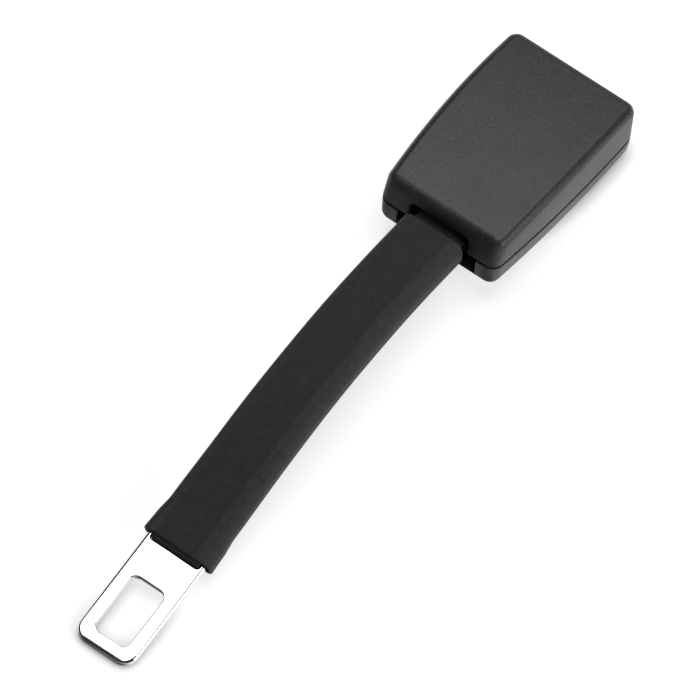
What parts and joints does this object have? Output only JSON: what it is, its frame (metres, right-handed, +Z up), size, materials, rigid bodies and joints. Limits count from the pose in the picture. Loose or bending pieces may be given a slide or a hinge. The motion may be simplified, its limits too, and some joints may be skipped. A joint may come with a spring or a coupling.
{
  "type": "seat belt extender",
  "caption": "Short stiff seat belt extender: a push-button buckle, a sleeved webbing loop and a steel tongue plate with a latch window.",
  "frame": {"origin": "centre of the bounding box in X and Y, on the floor it stands on", "axes": "+X across the belt, +Y from the tongue's tip to the buckle's mouth, +Z up away from the floor"},
  "size_m": [0.0482, 0.239, 0.0274],
  "materials": {
    "housing_plastic": "fine moulded grain",
    "front_plastic": "fine moulded grain",
    "button_plastic": "smooth moulding",
    "zinc_plated_steel": "zinc plated",
    "latch_steel": "hardened and tumbled",
    "spring_wire": "drawn wire",
    "ejector_plastic": "natural acetal",
    "guide_plastic": "smooth moulding",
    "chromed_steel": "polished chrome plate",
    "polyester_webbing": "tight polyester weave",
    "polyester_thread": "sewing thread",
    "sleeve_plastic": "matt extruded skin"
  },
  "bodies": {
    "belt": {"back_cover": "housing_plastic", "front_cover": "front_plastic", "frame": "zinc_plated_steel", "anchor_plate": "zinc_plated_steel", "anchor_rivet_left": "zinc_plated_steel", "anchor_rivet_right": "zinc_plated_steel", "latch_pin": "zinc_plated_steel", "pin_clip": "spring_wire", "tongue_guide": "guide_plastic", "button_spring_left": "spring_wire", "button_spring_right": "spring_wire", "latch_spring": "spring_wire", "ejector_spring": "spring_wire", "tongue_plate": "chromed_steel", "webbing": "polyester_webbing", "seam_thread": "polyester_thread", "sleeve": "sleeve_plastic"},
    "button": {"release_button": "button_plastic"},
    "latch": {"latch": "latch_steel"},
    "ejector": {"ejector": "ejector_plastic"}
  },
  "joints": [
    {"name": "button_press", "type": "slide", "parent": "belt", "child": "button", "axis": [0, -0.9891, 0.1469], "range_m": [0, 0.005], "stiffness_N_per_m": 600, "springref_m": -0.006, "deforming": ["button_spring_left", "button_spring_right"]},
    {"name": "latch_pivot", "type": "hinge", "parent": "belt", "child": "latch", "pos_m": [0, 0.07717, 0.01453], "axis": [-1, 0, 0], "range_deg": [0, 14], "deforming": ["latch_spring"]},
    {"name": "ejector_slide", "type": "slide", "parent": "belt", "child": "ejector", "axis": [0, -0.9891, 0.1469], "range_m": [0, 0.01], "stiffness_N_per_m": 150, "springref_m": -0.012, "deforming": ["ejector_spring"]}
  ],
  "couplings": [
    {"joint": "latch_pivot", "follows": "button_press", "rad_per_m": 48.8}
  ]
}
